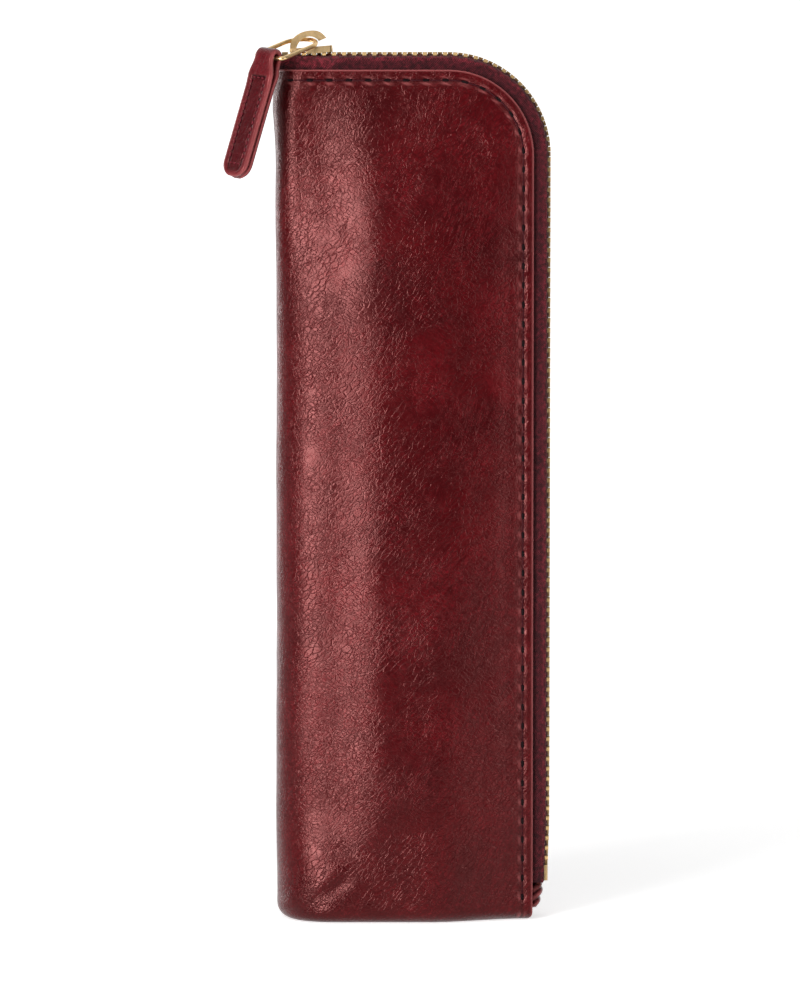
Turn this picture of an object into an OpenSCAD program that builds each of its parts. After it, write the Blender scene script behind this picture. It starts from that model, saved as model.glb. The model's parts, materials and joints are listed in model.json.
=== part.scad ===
// Single pen sleeve: an upright leather pen case that zips along its top and down one side.
// The front faces -Y, the zip side faces +X and up is +Z.
// The origin is the middle of the flat base, at the level that the case stands on.

/* [Case] */
// Height of the leather, from the base to its top edge
case_h = 195.5; // [165:0.5:235]
// Width of the leather, from the folded spine to the zip edge
case_w = 59; // [50:0.5:72]
// Thickness front to back along the zip edges
edge_depth = 12.6; // [12.2:0.1:15.6]
// Thickness front to back at mid height
body_depth = 19; // [16:0.5:24]
// Thickness front to back just above the base
base_depth = 24; // [20:0.5:30]
// Radius of the rounded corner between the top edge and the zip side
corner_r = 19.5; // [16:0.5:24]
// Radius with which the panels roll under to the flat base
roll_r = 3.5; // [2.5:0.1:5]
// Thickness of the leather
leather_t = 1.3; // [1:0.1:1.6]

/* [Lining] */
// Thickness of the lining cloth
lining_t = 0.5; // [0.4:0.1:0.8]
// How far the lining stops short of the leather's free edges
lining_trim = 1; // [0.5:0.1:2]

/* [Base seam] */
// Height that the turned-in seam allowance stands up inside the base
seam_h = 5; // [4:0.5:8]
// Depth of the groove that the seam leaves under the base
groove_d = 0.8; // [0.4:0.1:1]

/* [Stitching] */
// Distance from one panel stitch to the next
stitch_pitch = 4.4; // [3.5:0.1:5.5]
// Visible length of one panel stitch
stitch_l = 3; // [2.2:0.1:3.2]
// Thickness of the sewing thread
thread_d = 0.7; // [0.5:0.05:0.9]
// Distance from the leather's edge to the stitch line
stitch_in = 2.4; // [2:0.1:3.2]

/* [Zip chain] */
// Distance from one tooth to the next on the same tape
tooth_pitch = 2.3; // [2.2:0.05:2.8]
// Length of a tooth along the chain
tooth_l = 1; // [0.8:0.05:1]
// Thickness of the chain, from its inner to its outer face
tooth_t = 2.3; // [2:0.05:2.4]
// Reach of a tooth from the middle of the chain to the end of its jaws
tooth_reach = 2.3; // [2.2:0.05:2.4]
// How far a tooth's head passes the middle of the chain
tooth_bite = 0.5; // [0.3:0.05:0.6]
// Thickness of the woven tape
tape_t = 0.6; // [0.4:0.05:0.6]
// Diameter of the cord bead that the teeth clamp
bead_d = 1.1; // [0.9:0.05:1.1]
// Depth that the tape runs down inside the leather's edge
tape_in = 7; // [5:0.5:9]
// Distance from the leather's edge out to the middle of the chain
chain_out = 2.8; // [2.6:0.1:3.6]
// Distance from the base up to the last tooth
chain_end = 12.7; // [11:0.1:20]

/* [Slider] */
// Length of the slider along the chain
slider_l = 9.8; // [9:0.1:11]
// Thickness of the slider's two plates
plate_t = 0.7; // [0.6:0.05:0.9]
// Height of the channel between the two plates
channel_h = 3.2; // [3.1:0.05:3.6]
// Height of the side slots that the tapes pass through
slot_h = 1.6; // [1.5:0.05:2]
// Width of the hook that holds the ring
hook_w = 1; // [0.8:0.05:1.1]
// How far the slider is cocked on the chain, as a share of the play in its channel
slider_tilt = 0.95; // [0:0.05:0.95]

/* [Pull ring] */
// Diameter of the ring's wire
ring_wire = 1; // [0.8:0.05:1]
// Width of the ring between the middles of its arms
ring_w = 8.4; // [8.2:0.1:9]
// Length of the ring between the middles of its two ends
ring_l = 14.2; // [13.9:0.1:16]
// Radius of the two corners that the strap hangs between
ring_corner_r = 1.2; // [1:0.1:1.3]

/* [Pull tab] */
// Length of the folded strap, from the ring's wire to its tip
tab_l = 29.5; // [24:0.5:36]
// Width of the strap
tab_w = 7.2; // [6.4:0.1:8]
// Width of the strap where it folds over the ring
tab_neck_w = 5.3; // [4.6:0.1:5.4]
// Thickness of one layer of the strap
strap_t = 1.3; // [1:0.1:1.5]
// Distance from one tab stitch to the next
tab_stitch_pitch = 1.6; // [1.4:0.1:2]

/* [Hidden] */
// Every piece of the case

// Gap left between pieces that lie against each other
fit_gap = 0.05;
// Colours of the materials
leather_red = "#6e1722";
tape_red = "#5b1f2c";
lining_red = "#4a1a20";
brass = "#c9a75f";
thread_red = "#5a0f18";

// Places of the leather's edges
zip_x = case_w/2;
spine_x = -case_w/2;
edge_half = edge_depth/2;
corner_x = zip_x - corner_r;
corner_z = case_h - corner_r;
// Distance over which the panels swell from the zip side and from the top
side_swell = 24;
top_swell = 46;
// Length of the spine's rounding across the front, at the top and lower down
spine_top_len = 7;
spine_low_len = 13;
// Points across the flat of a panel, round half the spine, round the roll and round the corner
n_panel = 13;
n_cap = 8;
n_roll = 4;
n_wall = 9;
n_corner = 9;
half_n = n_panel + n_cap;

// A smooth step from 0 to 1
function ease(t) = pow(sin(90*min(1, max(0, t))), 2);
function mix(a, b, t) = a + (b - a)*t;

// Half thickness of the case at height z, before it closes in at its edges
function body_half(z) = (body_depth + (base_depth - body_depth)*pow(1 - z/case_h, 2))/2;
// Half thickness at a point of the front panel
function panel_half(x, z) =
    edge_half + (body_half(z) - edge_half)*ease((zip_x - x)/side_swell)*ease((case_h - z)/top_swell);
function spine_len(z) = mix(spine_top_len, spine_low_len, ease((case_h - z)/60));
// Free edge at height z, trimmed back by trim
function edge_x(z, trim) =
    z <= corner_z ? zip_x - trim
    : corner_x + sqrt(max(0, pow(corner_r - trim, 2) - pow(z - corner_z, 2)));

// Point i of the front half of the outline at height z, from the free edge to the spine
function front_xy(i, z, trim) =
    let (len = spine_len(z), turn_x = spine_x + len, right = edge_x(z, trim))
    i <= n_panel
    ? let (x = mix(right, turn_x, i/n_panel)) [x, -panel_half(x, z)]
    : let (a = 90*(i - n_panel)/n_cap, x = turn_x - len*sin(a)) [x, -panel_half(x, z)*cos(a)];

// The same point moved inwards by d
function inner_xy(i, z, trim, d) =
    let (before = front_xy(max(0, i - 1), z, trim),
         last = front_xy(half_n - 1, z, trim),
         after = i < half_n ? front_xy(i + 1, z, trim) : [last.x, -last.y],
         along = after - before,
         inward = i == 0 ? [0, 1] : [along.y, -along.x]/norm(along))
    front_xy(i, z, trim) + d*inward;

// One row of a wall: the front half, round the spine, and the back half
function wall_row(z, trim, d) = concat(
    [for (i = [0 : half_n]) let (p = inner_xy(i, z, trim, d)) [p.x, i == half_n ? 0 : p.y, z]],
    [for (i = [half_n - 1 : -1 : 0]) let (p = inner_xy(i, z, trim, d)) [p.x, -p.y, z]]);

// Rows of a wall that is d inside the leather's outer face and whose floor is at floor_z
function wall_rows(d, trim, floor_z) =
    let (roll = roll_r - min(d, roll_r - 1), top = corner_z + corner_r - trim)
    concat(
        [for (k = [0 : n_roll - 1])
            let (a = 90*k/n_roll) wall_row(floor_z + roll*(1 - cos(a)), trim, d + roll*(1 - sin(a)))],
        [for (k = [0 : n_wall]) wall_row(mix(floor_z + roll, corner_z, k/n_wall), trim, d)],
        [for (k = [1 : n_corner])
            wall_row(min(top, corner_z + (corner_r - trim)*sin(90*k/n_corner)), trim, d)]);

// A closed solid between an outer and an inner skin of the same grid, open along its free edges.
// Each skin is a list of rows. floor_out and floor_in, as long as each other, hold the columns of
// points that close it below, from each front point across to its mirror image.
module lofted_shell(outer, inner, floor_out, floor_in) {
    rows = len(outer);
    cols = len(outer[0]);
    fo = len(floor_out[0]);
    fi = len(floor_in[0]);
    n_out = rows*cols;
    base_out = 2*n_out;
    base_in = base_out + half_n*fo;
    points = concat(
        [for (r = outer) for (p = r) p],
        [for (r = inner) for (p = r) p],
        [for (c = floor_out) for (p = c) p],
        [for (c = floor_in) for (p = c) p]);
    // Index of a floor point: its first and last belong to the wall, and so does the whole spine column
    function floor_out_at(i, j) =
        i == half_n ? half_n : j < 0 ? i : j >= fo ? cols - 1 - i : base_out + i*fo + j;
    function floor_in_at(i, j) =
        n_out + (i == half_n ? half_n : j < 0 ? i : j >= fi ? cols - 1 - i : base_in - n_out + i*fi + j);
    walls = [for (k = [0 : rows - 2]) for (i = [0 : cols - 2]) let (a = k*cols + i, b = a + cols)
        each [[a, b, b + 1], [a, b + 1, a + 1]]];
    inner_walls = [for (f = walls) [f[2] + n_out, f[1] + n_out, f[0] + n_out]];
    rim = [for (i = [0 : cols - 2]) let (a = (rows - 1)*cols + i, b = a + n_out)
        each [[a, b, b + 1], [a, b + 1, a + 1]]];
    side_front = [for (k = [0 : rows - 2]) let (a = k*cols, b = a + n_out)
        each [[a, b, b + cols], [a, b + cols, a + cols]]];
    side_back = [for (k = [0 : rows - 2]) let (a = k*cols + cols - 1, b = a + n_out)
        each [[a, b + cols, b], [a, a + cols, b + cols]]];
    floors = [for (i = [0 : half_n - 1]) for (j = [-1 : fo - 1])
        let (a = floor_out_at(i, j), b = floor_out_at(i, j + 1),
             c = floor_out_at(i + 1, j + 1), d = floor_out_at(i + 1, j))
        each c == d ? [[a, d, b]] : [[a, d, c], [a, c, b]]];
    inner_floors = [for (i = [0 : half_n - 1]) for (j = [-1 : fi - 1])
        let (a = floor_in_at(i, j), b = floor_in_at(i, j + 1),
             c = floor_in_at(i + 1, j + 1), d = floor_in_at(i + 1, j))
        each c == d ? [[a, b, d]] : [[a, c, d], [a, b, c]]];
    end_faces = [for (j = [-1 : fo - 1])
        [floor_out_at(0, j), floor_out_at(0, j + 1), floor_in_at(0, j + 1), floor_in_at(0, j)]];
    sides = concat(rim, side_front, side_back);
    polyhedron(points, concat(walls, inner_walls, sides, floors, inner_floors, end_faces), convexity = 6);
}

// Leather: one piece wrapped from the front panel round the spine to the back panel, its foot turned
// under and sewn along the middle of the base. Where the base is y from its middle to its edge, the
// seam shrinks to a share of its width near the ends, and its allowance stands up to a height.
function seam_near(y) = min(1, abs(y)/4);
function seam_top(y) = leather_t + seam_h*ease((abs(y) - 2)/2);
module leather_shell() {
    outer = wall_rows(0, 0, 0);
    inner = wall_rows(leather_t, 0, leather_t);
    floor_out = [for (i = [0 : half_n - 1]) let (p = outer[0][i], h = seam_near(p.y))
        [[p.x, -0.5*h, 0], [p.x, -0.1*h, groove_d*h], [p.x, 0.1*h, groove_d*h], [p.x, 0.5*h, 0]]];
    floor_in = [for (i = [0 : half_n - 1])
        let (p = inner[0][i], h = seam_near(p.y), top = seam_top(p.y))
        [[p.x, -leather_t*h, leather_t], [p.x, -leather_t*h, top + 0.01],
         [p.x, leather_t*h, top + 0.01], [p.x, leather_t*h, leather_t]]];
    color(leather_red) lofted_shell(outer, inner, floor_out, floor_in);
}

// Lining: a thin bag inside the leather, its floor above the base seam
lining_d = leather_t + tape_t + 8*fit_gap;
lining_z = leather_t + seam_h + 1;
module lining() {
    outer = wall_rows(lining_d, lining_trim, lining_z);
    inner = wall_rows(lining_d + lining_t, lining_trim, lining_z + lining_t);
    floor_out = [for (i = [0 : half_n - 1]) [[outer[0][i].x, 0, lining_z]]];
    floor_in = [for (i = [0 : half_n - 1]) [[inner[0][i].x, 0, lining_z + lining_t]]];
    color(lining_red) lofted_shell(outer, inner, floor_out, floor_in);
}

// The way along the zip: along the top, round the corner and down the side.
// s is the distance along the middle of the chain, from the chain's end at the spine.
chain_r = corner_r + chain_out;
tape_start_x = spine_x + 1.2;
top_len = corner_x - tape_start_x;
bend_len = chain_r*PI/2;
side_len = corner_z - chain_end;
chain_len = top_len + bend_len + side_len;
// Length of the last stretch that leans in towards the leather, and how far it leans
lean_len = 14;
lean_in = 0.7;

function way_angle(s) = 90*min(1, max(0, (s - top_len)/bend_len));
function lean(s) = lean_in*ease((s - chain_len + lean_len)/(2*lean_len));
// Point at distance r from the corner's middle, at s along the way
function way_xz(s, r) =
    let (a = way_angle(s))
    [corner_x + r*sin(a) + min(0, s - top_len), corner_z + r*cos(a) - max(0, s - top_len - bend_len)];

// The tapes part a little beside the slider's wedge
slider_x = tape_start_x + slider_l/2 + 2.2;
wedge_half = 0.75;
function spread(s) = wedge_half*ease((slider_x - slider_l/2 + 4.2 - tape_start_x - s)/3.4);

// Section of a tape at s: from its bead, across, over the leather's edge and down inside it
bead_v = 1.1;
tape_bend_v = edge_half - leather_t - fit_gap;
function leg_v(s, r) =
    let (p = way_xz(s, r)) panel_half(p.x, p.y) - leather_t - fit_gap*(1 + 0.6*(corner_r - r));
function leg_share(s) = ease((tape_start_x + s - spine_x - 6)/3);
function tape_section(s) =
    let (b = bead_v + spread(s), h = tape_t/2, q = bead_d/2, k = leg_share(s), g = lean(s), c = chain_r - g,
         e = corner_r, v = tape_bend_v,
         outside = [[b - q, 0], [b - 0.7*q, 0.7*q], [b, q], [b + 0.7*q, 0.7*q], [b + 1.5*q, h], [v - 1.4, h],
                    [v - 0.6, 0.1], [v - 0.1, -0.9 + g]],
         inside = [[v - 0.1 - tape_t, -1.15 + g], [v - 1.05, -0.5], [v - 1.6, -h], [b + 1.5*q, -h],
                   [b + 0.7*q, -0.7*q], [b, -q], [b - 0.7*q, -0.7*q]],
         legs = [for (d = [0.4, 2.4, 4.7, 1]) d == 1 ? tape_in : d])
    concat(
        [for (p = outside) [p.x, c + p.y]],
        [for (d = legs) [mix(v - 0.1, leg_v(s, e - d), k), mix(c - 1.1 + g - 0.05*d, e - d, k)]],
        [for (d = [tape_in, 4.7, 2.4, 0.4])
            [mix(v - 0.1, leg_v(s, e - d), k) - tape_t, mix(c - 1.3 + g - 0.05*d, e - d, k)]],
        [for (p = inside) [p.x, c + p.y]]);

// Rings of the tape along the way
tape_stop = chain_len + 4.2;
tape_rings = concat(
    [0, 1.6, 3, 4.2, 5.4, 6.6, 8, 12, 20, top_len - 4],
    [for (k = [0 : 14]) top_len + bend_len*k/14],
    [for (k = [1 : 5]) top_len + bend_len + (side_len - lean_len)*k/6],
    [for (k = [0 : 4]) mix(chain_len - lean_len, tape_stop, k/4)]);

module zip_tape(side) {
    sections = [for (s = tape_rings) let (a = tape_section(s))
        [for (p = a) let (w = way_xz(s, p.y)) [w.x, side*p.x, w.y]]];
    m = len(sections[0]);
    n = len(sections);
    points = [for (ring = sections) for (p = ring) p];
    sides = [for (k = [0 : n - 2]) for (i = [0 : m - 1]) let (a = k*m + i, b = k*m + (i + 1)%m)
        each [[a, b, b + m], [a, b + m, a + m]]];
    ends = [[for (i = [m - 1 : -1 : 0]) i], [for (i = [0 : m - 1]) (n - 1)*m + i]];
    front = concat(sides, ends);
    faces = side < 0 ? front : [for (f = front) [for (i = [len(f) - 1 : -1 : 0]) f[i]]];
    polyhedron(points, faces, convexity = 6);
}

module zip_tape_front() {
    color(tape_red) zip_tape(-1);
}

module zip_tape_back() {
    color(tape_red) zip_tape(1);
}

// Gaps between a clamp's jaws and the bead and tape that they hold, and at the root of the jaws
clamp_gap = 0.1;
root_gap = 0.08;
jaw_half = bead_d/2 + clamp_gap;
lip_half = tape_t/2 + clamp_gap;
jaw_root = bead_v - bead_d/2 - root_gap;
// Length of the lips that close on the flat of the tape
lip_l = 0.5;
// Bevel along the long edges of a tooth
tooth_bevel = 0.2;
// Nub on one face of a tooth's head, how far it enters the next tooth, and the gap left in the hollow there
nub_d = 0.6;
nub_taper = 0.15;
nub_bite = 0.1;
hollow_gap = 0.08;

// Section of a tooth: a head that passes the middle of the chain and two jaws round the bead
module tooth_section(reach, bite) {
    h = tooth_t/2;
    c = tooth_bevel;
    upper = [[-bite, h - c], [c - bite, h], [reach - c, h], [reach, h - c], [reach, lip_half],
             [reach - lip_l, lip_half], [reach - 1.5*lip_l, jaw_half], [jaw_root, jaw_half]];
    polygon(concat(upper, [for (i = [len(upper) - 1 : -1 : 0]) [upper[i].x, -upper[i].y]]));
}

// Places children on the way at s, shifted by v: x runs along the chain, y across it and z outwards
module on_way(s, v) {
    w = way_xz(s, chain_r - lean(s));
    translate([w.x, 0, w.y]) rotate([0, way_angle(s), 0]) translate([0, v, 0]) children();
}

// A solid of the given section across the chain, from x = from and len long
module along_chain(from, len) {
    translate([from, 0, 0]) rotate([90, 0, 90]) linear_extrude(len) children();
}

// One tooth: its head carries a nub on the side towards the next tooth, and on the other side a
// hollow, open at the tip, that takes the nub of the tooth before
module tooth(side, has_nub) {
    nub_h = tooth_pitch/2 - tooth_l + nub_bite;
    hollow_d = nub_d + 2*hollow_gap;
    difference() {
        union() {
            along_chain(-tooth_l/2, tooth_l) scale([side, 1]) tooth_section(tooth_reach, tooth_bite);
            if (has_nub) translate([tooth_l/2 - nub_taper, 0, 0]) rotate([0, 90, 0])
                cylinder(h = nub_h + nub_taper, d1 = nub_d, d2 = nub_d - nub_taper, $fn = 24);
        }
        along_chain(-tooth_l/2 - 1, 1 + nub_bite + hollow_gap) union() {
            circle(d = hollow_d, $fn = 24);
            translate([-side*tooth_bite, 0]) square([2*tooth_bite, hollow_d], center = true);
        }
    }
}

// First tooth just past the slider's wedge, and the number of teeth on each tape
first_tooth = slider_x - slider_l/2 + 3.15 - tape_start_x;
teeth = floor((chain_len - first_tooth)/tooth_pitch - 0.5) + 1;

module zip_teeth(side, phase) {
    for (k = [0 : teeth - 1]) {
        s = first_tooth + (k + phase)*tooth_pitch;
        on_way(s, side*spread(s)) tooth(side, k + phase < teeth - 1);
    }
}

module zip_teeth_front() {
    color(brass) zip_teeth(-1, 0);
}

module zip_teeth_back() {
    color(brass) zip_teeth(1, 0.5);
}

// Top stops: a longer clamp on each bead, just past the slider's front end
stop_s = slider_x - slider_l/2 - 1.2 - tape_start_x;
top_stop_l = 1.3;
// How much shorter than a tooth a top stop is at its tape end, and how far its head stays back
top_stop_trim = 0.2;
top_stop_setback = 0.15;
module top_stop(side) {
    on_way(stop_s, side*spread(stop_s)) along_chain(-top_stop_l/2, top_stop_l)
        scale([side, 1]) tooth_section(tooth_reach - top_stop_trim, -top_stop_setback);
}

module top_stop_front() {
    color(brass) top_stop(-1);
}

module top_stop_back() {
    color(brass) top_stop(1);
}

// Bottom stop: one clamp over both beads below the last tooth, its web between the beads
bottom_stop_l = 3.6;
bottom_stop_bevel = 0.4;
// Distance from the end of the chain down to the stop
bottom_stop_gap = 0.4;
module bottom_stop() {
    h = tooth_t/2 + fit_gap;
    r = tooth_reach;
    b = bottom_stop_bevel;
    pocket = r - lip_l - jaw_root;
    color(brass) on_way(chain_len + bottom_stop_gap + bottom_stop_l/2, 0)
        along_chain(-bottom_stop_l/2, bottom_stop_l) difference() {
            polygon([[b - r, h], [r - b, h], [r, h - b], [r, b - h], [r - b, -h], [b - r, -h], [-r, b - h],
                     [-r, h - b]]);
            for (side = [-1, 1]) {
                translate([side*(jaw_root + pocket/2), 0]) square([pocket, 2*jaw_half], center = true);
                translate([side*r, 0]) square([3*lip_l, 2*lip_half], center = true);
            }
        }
}

// Tape end: below the stop the two tapes are gathered into slanting turns and tucked between the
// leather's edges
fold_top_z = chain_end - 4.5;
fold_foot_z = 2.2;
fold_turns = 4;
fold_slant = 28;
// Clearance round the end of the base seam, which stands up behind the fold
seam_clear = 0.5;
module fold_section(share) {
    far = zip_x + chain_out*share;
    half = edge_half - leather_t - 12*fit_gap;
    polygon([[zip_x - 0.8, -half], [zip_x + 0.1, -half], [far - 0.6, -3], [far, -2], [far, 2], [far - 0.6, 3],
             [zip_x + 0.1, half], [zip_x - 0.8, half]]);
}

module tape_end_fold() {
    step = (fold_top_z - fold_foot_z)/fold_turns;
    seam_y = edge_half - roll_r;
    notch_half = leather_t*seam_near(seam_y) + seam_clear;
    color(tape_red) intersection() {
        union() {
            for (k = [-1 : fold_turns]) translate([zip_x, 0, fold_foot_z + step*(k + 0.5)])
                rotate([0, fold_slant, 0]) translate([-zip_x, 0, -step*0.34])
                    linear_extrude(step*0.68) fold_section(mix(0.45, 1, (k + 1)/(fold_turns + 1)));
            translate([0, 0, fold_foot_z]) linear_extrude(fold_top_z - fold_foot_z) fold_section(0.3);
        }
        difference() {
            translate([zip_x - 0.8, -edge_half, fold_foot_z])
                cube([chain_out + 2, edge_depth, fold_top_z - fold_foot_z]);
            translate([zip_x - 1, -notch_half, 0])
                cube([1 + fit_gap, 2*notch_half, seam_top(seam_y) + seam_clear]);
        }
    }
}

// Slider, drawn in its own frame: x along the chain with the closed end at +x, z out from the chain
chain_z = corner_z + chain_r;
rear_half = tooth_reach + 0.75;
front_half = tooth_reach + wedge_half + 0.7;
half_l = slider_l/2;
tilt_angle = atan(slider_tilt*(channel_h - tooth_t)/2/half_l);

module in_slider_frame() {
    translate([slider_x, 0, chain_z]) rotate([0, -tilt_angle, 0]) children();
}

// Outline of the slider's plates, wide at the front end and narrow at the closed end
module plate_outline() {
    side = [[half_l, rear_half - 0.6], [half_l - 0.15, rear_half - 0.25], [half_l - 0.5, rear_half],
            [0.4, rear_half + 0.05], [-1, rear_half + 0.3], [-2.2, front_half - 0.05], [-3.4, front_half],
            [-half_l + 0.5, front_half - 0.45], [-half_l + 0.12, front_half - 1],
            [-half_l, front_half - 1.7]];
    polygon(concat(side, [for (i = [len(side) - 1 : -1 : 0]) [side[i].x, -side[i].y]]));
}

// Channel between the flanges, open at both ends
module channel_outline() {
    side = [[half_l + 1, tooth_reach + 0.15], [0.2, tooth_reach + 0.15], [-1, tooth_reach + 0.4],
            [-2.4, tooth_reach + wedge_half + 0.12], [-half_l - 1, tooth_reach + wedge_half + 0.12]];
    polygon(concat(side, [for (i = [len(side) - 1 : -1 : 0]) [side[i].x, -side[i].y]]));
}

// One plate, and the flanges that close in on the chain's sides
flange_start = -1.2;
module plate_and_flanges() {
    inner = channel_h/2;
    translate([0, 0, inner]) linear_extrude(plate_t) plate_outline();
    translate([0, 0, slot_h/2]) linear_extrude(inner - slot_h/2) intersection() {
        difference() {
            plate_outline();
            channel_outline();
        }
        translate([flange_start, -front_half]) square([half_l - flange_start, 2*front_half]);
    }
}

module slider_body() {
    inner = channel_h/2;
    color(brass) in_slider_frame() {
        for (turn = [0, 180]) rotate([turn, 0, 0]) plate_and_flanges();
        translate([0, 0, -inner]) linear_extrude(channel_h)
            polygon([[-half_l + 0.1, -0.4], [-half_l + 0.5, -wedge_half], [-half_l + 1.4, -wedge_half],
                     [-half_l + 2.5, -0.1], [-half_l + 2.5, 0.1], [-half_l + 1.4, wedge_half],
                     [-half_l + 0.5, wedge_half], [-half_l + 0.1, 0.4]]);
    }
}

// Points of a smooth bend through a corner, from one point to another
function bend(p0, p1, p2, p3, n) = [for (k = [0 : n]) let (t = k/n, u = 1 - t)
    u*u*u*p0 + 3*u*u*t*p1 + 3*u*t*t*p2 + t*t*t*p3];

// Hook: a flat cast arm that rises from the front of the top plate and bends back over it, open at its tip
hook_x = -half_l + 0.15;
hook_foot = channel_h/2 + plate_t;
hook_h = 3.75;
module slider_hook() {
    outer = bend([0, 0], [-0.1, 2.2], [2.15, hook_h + 0.15], [5.15, hook_h], 12);
    nose = bend([5.15, hook_h], [6.75, hook_h - 0.05], [7.45, hook_h - 0.45], [8.5, 1.75], 8);
    under = bend([6.7, 1.2], [5.65, 2.9], [2.65, 3.1], [1.4, 0], 12);
    color(brass) in_slider_frame() translate([hook_x, hook_w/2, hook_foot]) rotate([90, 0, 0])
        linear_extrude(hook_w) polygon(concat(outer, [for (k = [1 : 8]) nose[k]], under));
}

// Unit vector along v, and the same once the part along w is taken out
function unit(v) = v/norm(v);
function square_to(v, w) = unit(v - (v*w)*w);

// Pull ring: it passes through the hook's eye, leans out over the front and holds the strap at its far end
ring_eye = [slider_x + hook_x + 4.25, 0.6, chain_z + hook_foot + 1.65];
ring_way = unit([-9.05, -10.1, -3.8]);
ring_across = square_to([0.69, -0.7, -0.12], ring_way);
bar_mid = ring_eye + ring_l*ring_way;

// Places children so that their x runs along u and their y along v
module in_frame(origin, u, v) {
    w = cross(u, v);
    multmatrix([[u.x, v.x, w.x, origin.x], [u.y, v.y, w.y, origin.y], [u.z, v.z, w.z, origin.z]])
        children();
}

module wire_arc(r, from, turn) {
    rotate([0, 0, from]) rotate_extrude(angle = turn, $fn = 48)
        translate([r, 0]) circle(d = ring_wire, $fn = 24);
}

module wire_run(from, to) {
    d = to - from;
    translate([from.x, from.y, 0]) rotate([0, 90, atan2(d.y, d.x)])
        cylinder(h = norm(d), d = ring_wire, $fn = 24);
}

module pull_ring() {
    r = ring_w/2;
    c = ring_corner_r;
    color(brass) in_frame(ring_eye, ring_way, -ring_across) {
        translate([r, 0, 0]) wire_arc(r, 90, 180);
        for (side = [-1, 1]) {
            wire_run([r, side*r], [ring_l - c, side*r]);
            translate([ring_l - c, side*(r - c), 0]) wire_arc(c, side > 0 ? 0 : -90, 90);
        }
        wire_run([ring_l, c - r], [ring_l, r - c]);
    }
}

// Pull tab: a strap folded over the ring's far end, its two layers sewn together
tab_across = ring_across;
tab_down = square_to([-8.9, -4.5, -27.9], tab_across);
bore_r = ring_wire/2 + 0.25;
fold_r = bore_r + strap_t;
join_z = 7;
tip_r = 2.9;
// Half thickness of the folded strap at depth z below the wire
function tab_half(z) = z > join_z ? strap_t : mix(fold_r, strap_t, z/join_z);

module tab_outline() {
    neck = tab_neck_w/2;
    side = tab_w/2;
    right = concat([[neck, fold_r + 1], [neck, -2.2], [side, -5.2], [side, tip_r - tab_l]],
                   [for (a = [15 : 15 : 90]) [side - tip_r + tip_r*cos(a), tip_r - tab_l - tip_r*sin(a)]]);
    polygon(concat(right, [for (i = [len(right) - 1 : -1 : 0]) [-right[i].x, right[i].y]]));
}

module tab_profile() {
    polygon(concat([for (a = [0 : 10 : 180]) fold_r*[cos(a), sin(a)]],
                   [[-strap_t, -join_z], [-strap_t, 0.5 - tab_l], [0.5 - strap_t, -tab_l],
                    [strap_t - 0.5, -tab_l], [strap_t, 0.5 - tab_l], [strap_t, -join_z]]));
}

module in_tab_frame() {
    in_frame(bar_mid, tab_across, cross(-tab_down, tab_across)) children();
}

module pull_tab_strap() {
    color(leather_red) in_tab_frame() difference() {
        intersection() {
            translate([0, 3*strap_t, 0]) rotate([90, 0, 0]) linear_extrude(6*strap_t) tab_outline();
            rotate([90, 0, 90]) translate([0, 0, -tab_w]) linear_extrude(2*tab_w) tab_profile();
        }
        rotate([0, 90, 0]) cylinder(h = 2*tab_w, r = bore_r, center = true, $fn = 48);
        rotate([90, 0, 90]) translate([0, 0, -tab_w]) linear_extrude(2*tab_w)
            polygon([[-bore_r, 0], [bore_r, 0], [0, 1 - join_z]]);
    }
}

// A straight piece of thread between two points
module thread(from, to, d) {
    run = to - from;
    translate(from) rotate([0, acos(run.z/norm(run)), atan2(run.y, run.x)])
        cylinder(h = norm(run), d = d, $fn = 6);
}

tab_stitch_x = tab_w/2 - 1.7;
tab_stitch_top = 6;
tab_stitch_foot = tab_l - 4.2;
module pull_tab_stitching() {
    d = 0.5;
    l = 0.7*tab_stitch_pitch;
    count = floor((tab_stitch_foot - tab_stitch_top)/tab_stitch_pitch);
    color(thread_red) in_tab_frame() for (face = [-1, 1]) {
        for (side = [-1, 1]) for (k = [0 : count - 1]) {
            z = tab_stitch_top + (k + 0.5)*tab_stitch_pitch;
            y = face*(tab_half(z - l/2) + d/2 + fit_gap);
            thread([side*tab_stitch_x, y, l/2 - z], [side*tab_stitch_x, y, -z - l/2], d);
        }
        for (z = [tab_stitch_top, tab_stitch_top + count*tab_stitch_pitch], x = [-1.1, 0.1]) {
            y = face*(tab_half(z - 0.2) + d/2 + fit_gap);
            thread([x, y, -z], [x + 1, y, -z], d);
        }
    }
}

// Seam that runs along the free edge, stitch_in from it: the point at t along it, on the front face
seam_r = corner_r - stitch_in;
seam_start_x = spine_x + 3.6;
seam_top_len = corner_x - seam_start_x;
seam_bend_len = seam_r*PI/2;
seam_foot_z = 3.6;
seam_len = seam_top_len + seam_bend_len + corner_z - seam_foot_z;
function skin_half(x, z) = let (len = spine_len(z), u = max(0, spine_x + len - x)/len)
    panel_half(x, z)*sqrt(1 - u*u);
function seam_point(t) =
    let (a = 90*min(1, max(0, (t - seam_top_len)/seam_bend_len)),
         x = corner_x + seam_r*sin(a) + min(0, t - seam_top_len),
         z = corner_z + seam_r*cos(a) - max(0, t - seam_top_len - seam_bend_len))
    [x, -skin_half(x, z), z];

module panel_stitching(side) {
    count = floor((seam_len - stitch_l)/stitch_pitch) + 1;
    lift = thread_d/2 + 3*fit_gap;
    for (k = [0 : count - 1]) {
        a = seam_point(k*stitch_pitch);
        b = seam_point(k*stitch_pitch + stitch_l);
        n = unit([a.y - b.y, b.x - a.x, 0]);
        out = abs(b.x - a.x) < 0.5 ? [0, -1, 0] : n.y < 0 ? n : -n;
        p = a + lift*out;
        q = b + lift*out;
        thread([p.x, -side*p.y, p.z], [q.x, -side*q.y, q.z], thread_d);
    }
}

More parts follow.
